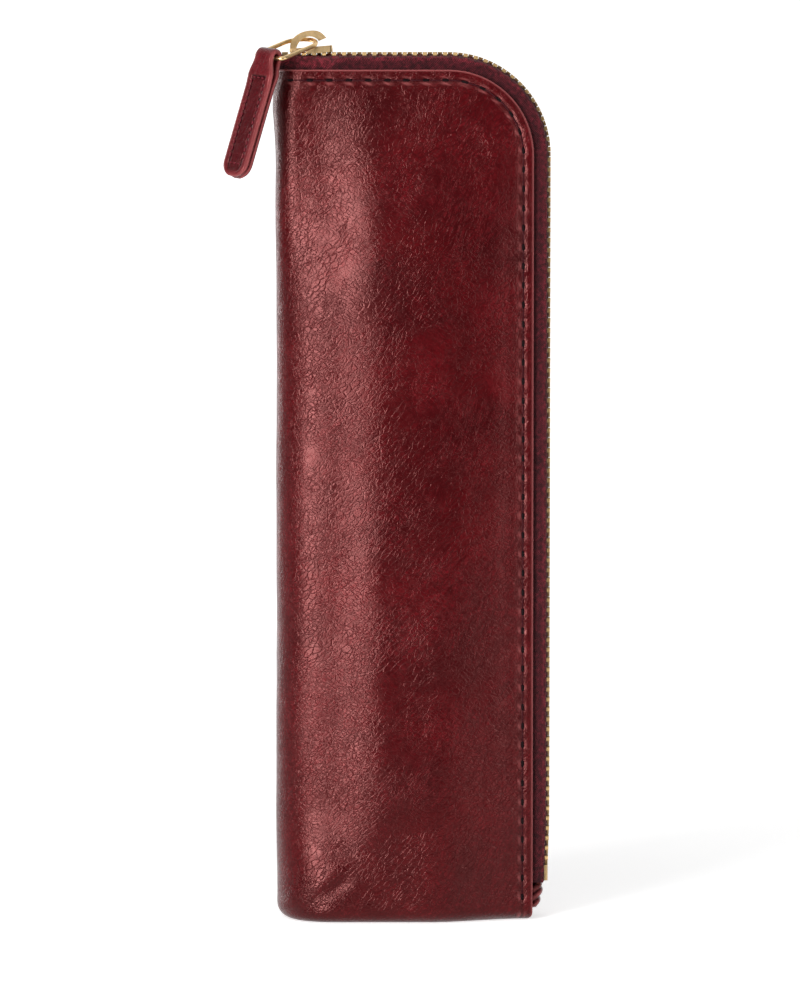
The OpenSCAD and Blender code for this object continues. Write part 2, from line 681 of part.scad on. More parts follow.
module front_stitching() {
    color(thread_red) panel_stitching(-1);
}

module back_stitching() {
    color(thread_red) panel_stitching(1);
}

// Stitching through the seam allowance that stands up inside the base
module base_seam_stitching() {
    z = leather_t + seam_h/2;
    y = leather_t + thread_d/2 + 2*fit_gap;
    first_x = spine_x + 8;
    count = floor((zip_x - 4 - first_x)/stitch_pitch);
    color(thread_red) for (side = [-1, 1], k = [0 : count - 1]) {
        x = first_x + k*stitch_pitch;
        thread([x, side*y, z], [x + stitch_l, side*y, z], thread_d);
    }
}

leather_shell();
lining();
zip_tape_front();
zip_tape_back();
zip_teeth_front();
zip_teeth_back();
top_stop_front();
top_stop_back();
bottom_stop();
tape_end_fold();
slider_body();
slider_hook();
pull_ring();
pull_tab_strap();
pull_tab_stitching();
front_stitching();
back_stitching();
base_seam_stitching();
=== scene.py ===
import json
import math

import bpy
import numpy as np
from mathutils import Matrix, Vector


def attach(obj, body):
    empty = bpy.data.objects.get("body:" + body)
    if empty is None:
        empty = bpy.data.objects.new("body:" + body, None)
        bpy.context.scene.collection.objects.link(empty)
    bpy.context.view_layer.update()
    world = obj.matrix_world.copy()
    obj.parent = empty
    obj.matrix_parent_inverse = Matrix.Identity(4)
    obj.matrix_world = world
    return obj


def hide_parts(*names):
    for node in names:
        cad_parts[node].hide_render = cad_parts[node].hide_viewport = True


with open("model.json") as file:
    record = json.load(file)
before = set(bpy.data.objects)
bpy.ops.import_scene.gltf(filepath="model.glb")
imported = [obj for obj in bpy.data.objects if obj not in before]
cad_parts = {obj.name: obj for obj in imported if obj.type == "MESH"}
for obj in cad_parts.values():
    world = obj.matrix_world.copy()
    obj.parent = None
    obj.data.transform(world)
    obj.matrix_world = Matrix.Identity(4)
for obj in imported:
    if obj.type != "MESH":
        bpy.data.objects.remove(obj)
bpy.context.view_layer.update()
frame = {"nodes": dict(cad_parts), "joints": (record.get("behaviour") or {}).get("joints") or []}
nodes = frame["nodes"]

MM = 0.001

# Sizes of the case in millimetres, as in the solid model. The slopes are how far in from the side and from the
# top its full depth is reached
CASE_H, CASE_W = 195.5, 59.0
EDGE_DEPTH, BODY_DEPTH, BASE_DEPTH = 12.6, 19.0, 24.0
CORNER_R, ROLL_R, FOOT_R, LEATHER_T = 19.5, 3.5, 1.6, 1.3
SLOPE_X, SLOPE_Z = 24, 46
SPINE_ROUND_TOP, SPINE_ROUND = 7.0, 13.0
ZIP_X, SPINE_X = CASE_W/2, -CASE_W/2
CORNER_X, CORNER_Z = ZIP_X - CORNER_R, CASE_H - CORNER_R

# Seam of the panels, inside their free edge
STITCH_IN, STITCH_PITCH, SEAM_END_IN = 2.4, 4.4, 3.6
SEAM_R = CORNER_R - STITCH_IN
SEAM_START = SPINE_X + SEAM_END_IN
SEAM_TOP, SEAM_BEND = CORNER_X - SEAM_START, SEAM_R*np.pi/2
SEAM_LEN = SEAM_TOP + SEAM_BEND + CORNER_Z - SEAM_END_IN
SEAM_SUNK, STITCH_GAP, SLIT_LEN = 0.30, 0.35, 1.75
THREAD_R, SLIT_R = 0.17, 0.36

# The way along the zip's chain
CHAIN_R = CORNER_R + 2.8
TAPE_T, BEAD_D, TAPE_IN, TAPE_REACH, TAPE_TAIL = 0.6, 1.1, 7.0, 4.95, 4.2
TAPE_START = SPINE_X + 1.2
FIRST_TOOTH, TOOTH_PITCH, CHAIN_FOOT_Z = 5.35, 2.3, 12.7
TOP_LEN, BEND_LEN = CORNER_X - TAPE_START, CHAIN_R*np.pi/2
CHAIN_LEN = TOP_LEN + BEND_LEN + CORNER_Z - CHAIN_FOOT_Z

# How far the soft leather draws in: share of the half depth, and millimetres more at the top of the spine
PINCH, SHOULDER = 0.21, 1.4
EDGE_ROUND = 0.5
# Fold at the foot of the spine: its place and its slant
FOLD_X, FOLD_Z, FOLD_COS, FOLD_SIN = -16.9, 9.4, 0.83, 0.557


# Shape of the case
def ease(t):
    """A smooth step from 0 to 1."""
    return np.sin(np.pi/2*np.clip(t, 0, 1))**2


def mix(a, b, t):
    return a + (b - a)*t


def bump_at(t, width):
    """A rounded ridge of height 1 at t = 0."""
    return np.exp(-(t/width)**2)


def corner_turn(x, z):
    """Angle round the corner's centre, from straight up at the end of the top edge."""
    return np.arctan2(np.maximum(0, x - CORNER_X), np.maximum(1e-6, z - CORNER_Z))


def body_half(z):
    return (BODY_DEPTH + (BASE_DEPTH - BODY_DEPTH)*(1 - z/CASE_H)**2)/2


def panel_half(x, z):
    """Half the case's depth: thin along the free edge, full further in."""
    edge = EDGE_DEPTH/2
    return edge + (body_half(z) - edge)*ease((ZIP_X - x)/SLOPE_X)*ease((CASE_H - z)/SLOPE_Z)


def pinch(x, z):
    """Share by which the soft leather draws in towards the spine, between its mouth and its base."""
    return PINCH*ease((-4 - x)/17)*ease((CASE_H - z)/40)*ease(z/28)


def spine_len(z):
    """How far the spine's rounding reaches into the panel."""
    return mix(SPINE_ROUND_TOP, SPINE_ROUND, ease((CASE_H - z)/60))


def skin_half(x, z):
    """Half the depth of the skin, with the spine's rounding."""
    u = np.maximum(0, SPINE_X + spine_len(z) - x)/spine_len(z)
    return panel_half(x, z)*np.sqrt(np.maximum(0, 1 - u*u))


def edge_x(z, trim=0.0):
    """Where the free edge lies at a height, drawn in by trim."""
    foot = FOOT_R - np.sqrt(np.maximum(0, FOOT_R**2 - np.maximum(0, FOOT_R - z)**2))
    bend = CORNER_X + np.sqrt(np.maximum(0, (CORNER_R - trim)**2 - np.maximum(0, z - CORNER_Z)**2))
    return np.where(z <= CORNER_Z, ZIP_X - trim - foot, bend)


def edge_distance(x, z):
    """How far a point of a panel lies inside the leather's free edge."""
    side, top = edge_x(np.minimum(z, CORNER_Z)) - x, CASE_H - z
    in_corner = (x > CORNER_X) & (z > CORNER_Z)
    return np.where(in_corner, CORNER_R - np.hypot(x - CORNER_X, z - CORNER_Z), np.minimum(side, top))


def seam_run(x, z):
    """How far along the stitch line a point lies, from its start at the spine."""
    on_top = (x <= CORNER_X) & (CASE_H - z < ZIP_X - x)
    on_bend = (x > CORNER_X) & (z > CORNER_Z)
    bend = SEAM_TOP + SEAM_R*corner_turn(x, z)
    down = SEAM_TOP + SEAM_BEND + CORNER_Z - z
    return np.where(on_top, x - SEAM_START, np.where(on_bend, bend, down))


def edge_way(t, radius, top, bend):
    """x and z at t along a line that follows the free edge: top long, then the bend, then down."""
    a = np.clip((t - top)/bend, 0, 1)*np.pi/2
    x = CORNER_X + radius*np.sin(a) + np.minimum(0, t - top)
    z = CORNER_Z + radius*np.cos(a) - np.maximum(0, t - top - bend)
    return x, z


def seam_relief(d, t):
    """The sewn groove, drawn in at each slit, and the puckers on its inner side."""
    reach = np.clip((t - 2)/4, 0, 1)*np.clip((SEAM_LEN + 2 - t)/4, 0, 1)
    phase = 2*np.pi*t/STITCH_PITCH
    groove = (0.10 + 0.16*reach)*bump_at(d - STITCH_IN, 0.55)
    drawn = 0.30*(0.5 + 0.5*np.cos(phase))**3*bump_at(d - STITCH_IN, 0.7)*reach
    puckers = 0.10*np.cos(phase + 0.8*np.sin(0.37*t))*np.exp(-np.maximum(0, d - STITCH_IN)/2.4)
    return puckers*(d > STITCH_IN)*reach - groove - drawn


def edge_swell(d, t):
    """The leather rises behind the seam, more in some places than in others."""
    swell = 1.1*(ease(d/10) - ease(d/24))*(1 + 0.12*np.sin(0.21*t) + 0.08*np.sin(0.093*t + 2))
    return swell + 0.12*bump_at(d - 4.2, 1.3)*(1 + 0.5*np.sin(0.21*t))


def panel_waves(x, z, d, back):
    """Slow unevenness of the hide, which lies otherwise on the back panel."""
    side = 1.7 if back else 0.0
    broad = 0.20*np.sin(0.085*x + 0.052*z + side)*np.sin(0.045*z - 0.06*x + 0.7 + side)*ease(d/14)
    return broad + 0.10*np.sin(0.21*x - 0.13*z + 1.3 + side)*np.sin(0.09*z + 0.11*x)*ease(d/10)


def foot_fold(x, z):
    """A ridge and a furrow that slant up from the foot of the spine."""
    along = (x - FOLD_X)*FOLD_COS + (z - FOLD_Z)*FOLD_SIN
    across = (z - FOLD_Z)*FOLD_COS - (x - FOLD_X)*FOLD_SIN
    span = ease((6 - along)/5)*ease((along + 15)/4)
    return span*(0.30*bump_at(across - 1.2, 1.6) - 0.55*bump_at(across + 1.4, 1.3))


def relief(x, z, back):
    """How far the leather stands in or out of its plain shape."""
    d, t = edge_distance(x, z), seam_run(x, z)
    rounding = EDGE_ROUND - np.sqrt(EDGE_ROUND**2 - np.clip(EDGE_ROUND - d, 0, EDGE_ROUND)**2)
    shoulder = SHOULDER*ease((z - 135)/34)*ease((-6 - x)/18)*ease((CASE_H - z)/9)*ease((x - SPINE_X)/7)
    fold = foot_fold(x, z)*(0.5 if back else 1)
    return seam_relief(d, t) + edge_swell(d, t) + panel_waves(x, z, d, back) + fold - rounding - shoulder


# Mesh helpers
def grid_faces(rows, cols, round_cols=False, flip=False):
    k, i = np.meshgrid(np.arange(rows - 1), np.arange(cols if round_cols else cols - 1), indexing="ij")
    a = k*cols + i
    b = k*cols + (i + 1) % cols
    quads = np.stack([a, b, b + cols, a + cols], axis=-1).reshape(-1, 4)
    return (quads[:, ::-1] if flip else quads).tolist()


def strip_faces(lines, flip=False):
    """Quads between neighbouring lines of point numbers."""
    faces = [[one[q + 1], one[q], two[q], two[q + 1]] for one, two in zip(lines, lines[1:])
             for q in range(len(one) - 1)]
    return [face[::-1] for face in faces] if flip else faces


def end_caps(rows, cols):
    """The two closing faces of a tube of rows of cols points, the first one and the last one."""
    last = (rows - 1)*cols
    return [list(range(cols)), list(range(last + cols - 1, last - 1, -1))]


def make_piece(name, points, faces, body, slot, material, stands_for=(), marks=None):
    """A smooth mesh piece from points in millimetres. marks are named values for each point."""
    mesh = bpy.data.meshes.new(name)
    mesh.from_pydata((np.asarray(points)*MM).tolist(), [], [list(f) for f in faces])
    mesh.polygons.foreach_set("use_smooth", [True]*len(mesh.polygons))
    for mark, values in (marks or {}).items():
        layer = mesh.attributes.new(mark, "FLOAT", "POINT")
        layer.data.foreach_set("value", np.asarray(values, dtype=np.float32).ravel())
    mesh.materials.append(material)
    piece = bpy.data.objects.new(name, mesh)
    bpy.context.scene.collection.objects.link(piece)
    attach(piece, body)
    if stands_for:
        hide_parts(*stands_for)
    return piece


def tube(path, radius, sides=6):
    """Points and faces of a closed tube along a path, its ends rounded in."""
    path = np.asarray(path, dtype=float)
    along = np.gradient(path, axis=0)
    along /= np.linalg.norm(along, axis=1)[:, None]
    up = np.cross(along, [0.31, 0.47, 0.83])
    up /= np.linalg.norm(up, axis=1)[:, None]
    out = np.cross(along, up)
    n = len(path)
    width = radius*np.sqrt(np.maximum(0.04, 1 - np.abs(np.linspace(-1, 1, n))**6))
    a = np.arange(sides)*2*np.pi/sides
    spokes = np.cos(a)[None, :, None]*up[:, None] + np.sin(a)[None, :, None]*out[:, None]
    ring = path[:, None] + width[:, None, None]*spokes
    faces = grid_faces(n, sides, round_cols=True, flip=True) + end_caps(n, sides)
    return ring.reshape(-1, 3), faces


def join_tubes(tubes):
    points, faces, first = [], [], 0
    for p, f in tubes:
        points.append(p)
        faces += [[i + first for i in face] for face in f]
        first += len(p)
    return np.vstack(points), faces


# Shader helpers
def rgba(colour):
    """A colour of three numbers with its alpha. Anything else stays as it is."""
    return colour + (1.0,) if isinstance(colour, tuple) and len(colour) == 3 else colour


class Surface:
    """A material's node tree, with short ways to add and join nodes."""

    def __init__(self, tree):
        self.tree = tree

    def add(self, kind, inputs=None, **settings):
        node = self.tree.nodes.new(kind)
        for key, value in settings.items():
            setattr(node, key, value)
        for key, value in (inputs or {}).items():
            self.put(node, key, value)
        return node

    def put(self, node, key, value):
        socket = node.inputs[key]
        if isinstance(value, bpy.types.NodeSocket):
            self.tree.links.new(value, socket)
        else:
            socket.default_value = value

    def math(self, operation, a, b=0.0, clamp=False):
        return self.add("ShaderNodeMath", {0: a, 1: b}, operation=operation, use_clamp=clamp).outputs[0]

    def vector(self, operation, inputs, output=0):
        return self.add("ShaderNodeVectorMath", inputs, operation=operation).outputs[output]

    def split(self, vector):
        return self.add("ShaderNodeSeparateXYZ", {0: vector}).outputs

    def noise(self, vector, scale, detail=2.0, rough=0.5, distortion=0.0):
        return self.add("ShaderNodeTexNoise", {"Vector": vector, "Scale": scale, "Detail": detail,
                                               "Roughness": rough, "Distortion": distortion}).outputs["Fac"]

    def stretch(self, vector, scale, turn=0.0):
        """Turn a place about the case's depth, then scale it: a small scale runs long along that slant."""
        return self.add("ShaderNodeMapping", {"Vector": vector, "Scale": tuple(1/c for c in scale),
                                              "Rotation": (0, turn, 0)}, vector_type="TEXTURE").outputs[0]

    def ramp(self, value, stops):
        node = self.add("ShaderNodeValToRGB", {"Fac": value})
        ramp = node.color_ramp
        while len(ramp.elements) < len(stops):
            ramp.elements.new(0.5)
        for element, (place, colour) in zip(ramp.elements, stops):
            element.position, element.color = place, rgba(colour)
        return node.outputs["Color"]

    def grey(self, value, low, high, to_low=0.0, to_high=1.0):
        return self.add("ShaderNodeMapRange", {"Value": value, "From Min": low, "From Max": high,
                                               "To Min": to_low, "To Max": to_high}).outputs["Result"]

    def blend(self, share, a, b):
        """Colour a, or colour b where share is 1. The mix node keeps its colour sockets at 6 and 7."""
        node = self.add("ShaderNodeMix", data_type="RGBA")
        for key, value in ((0, share), (6, a), (7, b)):
            self.put(node, key, rgba(value))
        return node.outputs[2]

    def mark(self, name):
        return self.add("ShaderNodeAttribute", attribute_name=name).outputs["Fac"]


def new_material(name):
    """A material with its shader, and places on the piece in millimetres."""
    material = bpy.data.materials.new(name)
    material.use_nodes = True
    material.node_tree.nodes.clear()
    s = Surface(material.node_tree)
    shader = s.add("ShaderNodeBsdfPrincipled")
    s.add("ShaderNodeOutputMaterial", {"Surface": shader.outputs[0]})
    place = s.add("ShaderNodeTexCoord").outputs["Object"]
    return material, s, shader, s.vector("SCALE", {0: place, "Scale": 1/MM})


def new_group(name, inputs, outputs):
    group = bpy.data.node_groups.new(name, "ShaderNodeTree")
    for socket, kind in inputs:
        group.interface.new_socket(socket, in_out="INPUT", socket_type=kind)
    for socket in outputs:
        group.interface.new_socket(socket, in_out="OUTPUT", socket_type="NodeSocketFloat")
    s = Surface(group)
    return group, s, s.add("NodeGroupInput").outputs, s.add("NodeGroupOutput")


def use_group(s, group, inputs):
    return s.add("ShaderNodeGroup", inputs, node_tree=group).outputs


def bumped(s, shader, height, strength, distance):
    bump = s.add("ShaderNodeBump", {"Height": height, "Strength": strength, "Distance": distance})
    s.put(shader, "Normal", bump.outputs[0])


def make_hide_grain():
    """Leather's grain: fine pebbles, creases in patches, thin slanting pull lines and cloudy colour."""
    group, s, given, out = new_group(
        "hide_grain", [("Vector", "NodeSocketVector"), ("Cloud size", "NodeSocketFloat")],
        ["Height", "Pull lines", "Cloud", "Wear"])
    v = given["Vector"]
    wander = s.add("ShaderNodeTexNoise", {"Vector": v, "Scale": 0.35, "Detail": 3.0}).outputs["Color"]
    bent = s.vector("ADD", {0: v, 1: s.vector("SCALE", {0: wander, "Scale": 1.8})})
    pebble = s.add("ShaderNodeTexVoronoi", {"Vector": s.stretch(bent, (1.5, 1.9, 1.9), -0.5), "Scale": 1.0,
                                            "Smoothness": 0.6}, feature="SMOOTH_F1").outputs["Distance"]
    fine = s.noise(v, 4.5, 3.0, 0.6)
    height = s.math("ADD", s.math("MULTIPLY", pebble, 0.30), s.math("MULTIPLY", fine, 0.10))
    crease = 0.0
    for turn, long, wide, share in ((-0.75, 0.42, 1.00, 0.80), (0.45, 0.60, 1.30, 0.60)):
        slanted = s.stretch(bent, (long, wide, wide), turn)
        edges = s.add("ShaderNodeTexVoronoi", {"Vector": slanted, "Scale": 1.0},
                      feature="DISTANCE_TO_EDGE").outputs["Distance"]
        patches = s.grey(s.noise(s.stretch(v, (0.05, 0.09, 0.09), turn), 1.0, 3.0, 0.6), 0.34, 0.50)
        line = s.math("MULTIPLY", s.grey(edges, 0.0, 0.12, 1.0, 0.0), s.math("MULTIPLY", patches, share))
        crease = s.math("MAXIMUM", crease, line)
    pulls = []
    for turn, width, seed in ((-0.85, 0.022, 3.0), (0.75, 0.016, 17.0), (-1.25, 0.016, 31.0)):
        moved = s.vector("ADD", {0: v, 1: (seed, 0, seed)})
        streaks = s.noise(s.stretch(moved, (0.14, 0.7, 0.9), turn), 1.0, 5.0, 0.66, 0.6)
        line = s.grey(s.math("ABSOLUTE", s.math("SUBTRACT", streaks, 0.5)), 0.0, width, 1.0, 0.0)
        pulls.append(s.math("MULTIPLY", line, s.grey(s.noise(moved, 0.07, 3.0), 0.42, 0.58)))
    pull = s.math("MAXIMUM", pulls[0], s.math("MAXIMUM", pulls[1], pulls[2]), clamp=True)
    height = s.math("SUBTRACT", s.math("SUBTRACT", height, crease), s.math("MULTIPLY", pull, 0.12))
    size = s.math("DIVIDE", 1.0, given["Cloud size"])
    s.put(out, "Height", height)
    s.put(out, "Pull lines", pull)
    s.put(out, "Cloud", s.noise(s.stretch(v, (0.75, 1.0, 1.0), -0.8), size, 6.0, 0.62, 0.5))
    s.put(out, "Wear", s.noise(v, 0.4, 4.0, 0.6))
    return group


def make_weave():
    """Woven cloth: slanting ribs that turn about at every 0.9 mm of depth, and loose fibres."""
    group, s, given, out = new_group(
        "weave", [("Vector", "NodeSocketVector"), ("Pitch", "NodeSocketFloat")], ["Height", "Shade"])
    v = given["Vector"]
    x, y, z = s.split(v)
    turns = s.math("DIVIDE", 2*math.pi, given["Pitch"])
    along = s.math("MULTIPLY", s.math("SUBTRACT", x, z), turns)
    slant = s.math("SINE", s.math("ADD", along, s.math("MULTIPLY", s.math("PINGPONG", y, 0.9), turns)))
    loose = s.noise(v, 1.1, 4.0, 0.7)
    s.put(out, "Height", s.math("ADD", s.math("MULTIPLY", slant, 0.3), s.math("MULTIPLY", loose, 1.6)))
    s.put(out, "Shade", s.math("ADD", s.math("MULTIPLY", slant, 0.06), loose))
    return group


def make_metal_wear():
    """Handling marks on metal: fine brushing and cloudy tarnish."""
    group, s, given, out = new_group("metal_wear", [("Vector", "NodeSocketVector")], ["Brushing", "Tarnish"])
    v = given["Vector"]
    s.put(out, "Brushing", s.noise(s.stretch(v, (1.2, 7.0, 7.0), -0.3), 2.4, 3.0, 0.6))
    s.put(out, "Tarnish", s.grey(s.noise(v, 0.8, 3.0, 0.6), 0.38, 0.68))
    return group


HIDE_GRAIN, WEAVE, METAL_WEAR = make_hide_grain(), make_weave(), make_metal_wear()
# The pink serves burnished edges and painted highlights
PULLED_RED, BURNISH_AND_HIGHLIGHT_PINK = (0.22, 0.012, 0.019), (0.50, 0.13, 0.13)
# Colours of painted shade: in the leather's grooves, on the tape's edges and between the zip's teeth
PAINTED_GROOVE_SHADE, PAINTED_CLOTH_SHADE, PAINTED_TOOTH_SHADE = (0.010, 0.0015, 0.002), (0.010, 0.0015, 0.003), (0.060, 0.022, 0.016)
LEATHER_SHEEN = (1.0, 0.38, 0.36)


def make_leather(name, cloud_size, bright, deep, rough, grain):
    material, s, shader, v = new_material(name)
    hide = use_group(s, HIDE_GRAIN, {"Vector": v, "Cloud size": cloud_size})
    middle = tuple(0.5*a + 0.5*b for a, b in zip(bright, deep))
    colour = s.ramp(hide["Cloud"], [(0.34, deep), (0.50, middle), (0.66, bright), (0.85, middle)])
    colour = s.blend(s.math("MULTIPLY", hide["Pull lines"], 0.55), colour, PULLED_RED)
    # Painted shade in the grain's creases and hollows
    colour = s.blend(s.grey(hide["Height"], 0.05, -0.25, 0.0, 0.6), colour, deep)
    # Painted shade where the groove mark says: along seams and stitch holes, under the base, between the tape
    # end's turns and on the strap's sewn face
    colour = s.blend(s.math("MULTIPLY", s.mark("groove"), 0.92), colour, PAINTED_GROOVE_SHADE)
    # Burnished edges in pink, with painted highlights by the stitch holes and on the tape end's turns
    colour = s.blend(s.math("MULTIPLY", s.mark("burnish_and_highlight"), 0.7), colour, BURNISH_AND_HIGHLIGHT_PINK)
    s.put(shader, "Base Color", colour)
    shine = s.grey(hide["Wear"], 0.3, 0.7, rough - 0.06, rough + 0.08)
    s.put(shader, "Roughness", s.math("SUBTRACT", shine, s.math("MULTIPLY", s.mark("burnish_and_highlight"), 0.08)))
    s.put(shader, "Specular IOR Level", 0.42)
    s.put(shader, "Specular Tint", rgba(LEATHER_SHEEN))
    bumped(s, shader, hide["Height"], grain, 0.00009)
    return material


def make_cloth(name, colour, pitch, depth):
    material, s, shader, v = new_material(name)
    cloth = use_group(s, WEAVE, {"Vector": v, "Pitch": pitch})
    light, dark = tuple(1.9*c for c in colour), tuple(0.35*c for c in colour)
    mottled = s.ramp(s.grey(cloth["Shade"], 0.38, 0.66), [(0.0, dark), (0.5, colour), (1.0, light)])
    # Painted shade where the groove mark says: on the tape by its edges and inside the leather
    s.put(shader, "Base Color", s.blend(s.math("MULTIPLY", s.mark("groove"), 0.7), mottled, PAINTED_CLOTH_SHADE))
    s.put(shader, "Roughness", 0.7)
    s.put(shader, "Sheen Weight", 0.06)
    s.put(shader, "Sheen Roughness", 0.4)
    s.put(shader, "Specular IOR Level", 0.2)
    bumped(s, shader, cloth["Height"], depth, 0.0003)
    return material


def make_brass(name, colour, rough, tarnish, row_start=None):
    """Brass with its wear. row_start, for a row of teeth, is where the first one stands along the chain."""
    material, s, shader, v = new_material(name)
    wear = use_group(s, METAL_WEAR, {"Vector": v})
    colour = s.blend(s.math("MULTIPLY", wear["Tarnish"], tarnish), colour, tuple(0.42*c for c in colour))
    shine = s.grey(wear["Brushing"], 0.3, 0.7, rough - 0.05, rough + 0.07)
    if row_start is not None:
        # Painted shade at the ends and heads of the teeth, which are rougher there too
        shade_mask = tooth_shade_mask(s, v, row_start)
        colour = s.blend(s.math("MULTIPLY", shade_mask, 0.5), colour, PAINTED_TOOTH_SHADE)
        shine = s.grey(shade_mask, 0.0, 1.0, 0.38, 0.6)
    s.put(shader, "Base Color", colour)
    s.put(shader, "Roughness", shine)
    s.put(shader, "Metallic", 1.0)
    bumped(s, shader, wear["Brushing"], 0.20, 0.00003)
    return material


def tooth_shade_mask(s, v, row_start):
    """Painted shade at both ends of each tooth and on its head."""
    x, y, z = s.split(v)
    right = s.math("MAXIMUM", s.math("SUBTRACT", x, CORNER_X), 0.0)
    up = s.math("MAXIMUM", s.math("SUBTRACT", z, CORNER_Z), 0.0001)
    along = s.math("MULTIPLY", s.math("ARCTAN2", right, up), CHAIN_R)
    along = s.math("ADD", along, s.math("MINIMUM", x, CORNER_X))
    along = s.math("SUBTRACT", along, s.math("MINIMUM", z, CORNER_Z))
    before = row_start + TAPE_START - CORNER_Z - 20*TOOTH_PITCH
    off = s.math("PINGPONG", s.math("SUBTRACT", along, before), TOOTH_PITCH/2)
    head = s.grey(s.math("ABSOLUTE", y), 1.15, 0.85)
    return s.math("MAXIMUM", s.grey(off, 0.26, 0.44), head, clamp=True)


def make_thread(name, colour):
    material, s, shader, v = new_material(name)
    twist = s.math("SINE", s.math("MULTIPLY", s.noise(v, 4.0, 2.0), 14.0))
    s.put(shader, "Base Color", s.blend(s.grey(twist, -1, 1, 0.0, 0.6), colour, tuple(0.4*c for c in colour)))
    s.put(shader, "Roughness", 0.6)
    s.put(shader, "Specular IOR Level", 0.12)
    bumped(s, shader, twist, 0.4, 0.0001)
    return material


CASE_LEATHER = make_leather("case_leather", cloud_size=15.0, bright=(0.076, 0.0024, 0.0042),
                            deep=(0.036, 0.0015, 0.0025), rough=0.235, grain=0.50)
STRAP_LEATHER = make_leather("strap_leather", cloud_size=7.0, bright=(0.125, 0.0075, 0.012),
                             deep=(0.070, 0.0050, 0.008), rough=0.27, grain=0.45)
TAPE_CLOTH = make_cloth("tape_cloth", (0.160, 0.0150, 0.0240), pitch=0.52, depth=0.9)
LINING_CLOTH = make_cloth("lining_cloth", (0.045, 0.010, 0.013), pitch=1.2, depth=0.3)
STOP_BRASS = make_brass("stop_brass", (0.60, 0.42, 0.21), rough=0.40, tarnish=0.5)
FRONT_TOOTH_BRASS, BACK_TOOTH_BRASS = [
    make_brass(name, (0.92, 0.62, 0.28), rough=0.30, tarnish=0.2, row_start=FIRST_TOOTH + lag)
    for name, lag in (("front_tooth_brass", 0), ("back_tooth_brass", TOOTH_PITCH/2))]
SLIDER_BRASS = make_brass("slider_brass", (0.82, 0.57, 0.29), rough=0.34, tarnish=0.35)
RING_BRASS = make_brass("ring_brass", (0.80, 0.56, 0.28), rough=0.30, tarnish=0.35)
PANEL_THREAD = make_thread("panel_thread", (0.060, 0.006, 0.011))
STRAP_THREAD = make_thread("strap_thread", (0.200, 0.022, 0.034))
SLIT_SHADE = make_thread("slit_painted_shade", (0.006, 0.001, 0.002))


# Leather wrapped round the case. Columns of points across a panel, in from its free edge
BAND = np.array([0, 0.12, 0.28, 0.5, 0.85, 1.25, 1.65, 2.05, 2.4, 2.75, 3.15, 3.7, 4.4, 5.2, 6.2])
# Cut edge: how far in from the free edge, how far down from the skin, and how burnished
CUT_PROFILE = [(0.08, 0.62, 1.0), (0.0, 0.75, 1.0), (0.08, 1.05, 0.8), (0.3, LEATHER_T, 0.2),
               (2.0, LEATHER_T, 0.0), (8.0, LEATHER_T, 0.0)]
# Base, from the foot's outline to its middle: share of the half depth, how far up, and how much painted shade
BASE_PROFILE = [(0.75, 0, 0), (0.5, 0, 0), (0.25, 0, 0), (0.10, 0.1, 0.4), (0.045, 0.45, 0.9), (0.0, 0.8, 1.0)]
# Outward is away from the case's middle, taken here
MIDDLE_X = 4.0


def wall_grid(z_rows, inset, panel_cols, cap_cols, trim=0.0, band=BAND):
    """Points of a wall's rows, front edge to spine to back edge. inset moves each row in from the skin."""
    z = np.asarray(z_rows)[:, None]
    right, turn = edge_x(z, trim), SPINE_X + spine_len(z)
    flat = mix(right - band[-1], turn, np.linspace(0, 1, panel_cols + 1)[None, 1:])
    x = np.hstack([right - band[None, :], flat])
    y = -panel_half(x, z)
    a = np.linspace(0, np.pi/2, cap_cols + 1)[None, 1:]
    cap_x = turn - spine_len(z)*np.sin(a)
    cap_y = -panel_half(cap_x, z)*np.cos(a)
    cap_y[:, -1] = 0
    x, y = np.hstack([x, cap_x]), np.hstack([y, cap_y])
    y = y*(1 - pinch(x, z))
    x, y = np.hstack([x, x[:, -2::-1]]), np.hstack([y, -y[:, -2::-1]])
    dx, dy = np.gradient(x, axis=1), np.gradient(y, axis=1)
    length = np.hypot(dx, dy)
    shift = np.asarray(inset)[:, None]
    x, y = x + shift*dy/length, y - shift*dx/length
    return np.stack([x, y, np.broadcast_to(z, x.shape)], axis=-1)


def outward(grid):
    n = np.cross(np.gradient(grid, axis=1), np.gradient(grid, axis=0))
    n /= np.maximum(1e-9, np.linalg.norm(n, axis=-1))[..., None]
    from_middle = grid[..., :2] - [MIDDLE_X, 0.0]
    return n*np.where((n[..., :2]*from_middle).sum(-1) < 0, -1, 1)[..., None]


def cut_edge(grid, out):
    """Points, faces, groove and burnish of the edge: round to the flesh side and a little way down inside."""
    rows, cols = grid.shape[:2]
    path = [(k, 0) for k in range(rows)] + [(rows - 1, i) for i in range(1, cols)]
    path += [(k, cols - 1) for k in range(rows - 2, -1, -1)]
    k, i = np.array(path).T
    edge, normal = grid[k, i], out[k, i]*[1, 1, 0]
    normal /= np.linalg.norm(normal, axis=1)[:, None]
    x, z = edge[:, 0], edge[:, 2]
    turn, on_side = corner_turn(x, z), z <= CORNER_Z
    inside = np.stack([np.where(on_side, -1, -np.sin(turn)), 0*x, np.where(on_side, 0, -np.cos(turn))], axis=1)
    inside[k == rows - 1] = [0, 0, -1]
    points = np.vstack([edge + far*inside - down*normal for far, down, _ in CUT_PROFILE])
    lines = [(k*cols + i).tolist()] + (rows*cols + np.arange(len(points)).reshape(-1, len(path))).tolist()
    burnish_and_highlight = np.repeat([shine for _, _, shine in CUT_PROFILE], len(path))
    return points, strip_faces(lines), 0*burnish_and_highlight, burnish_and_highlight


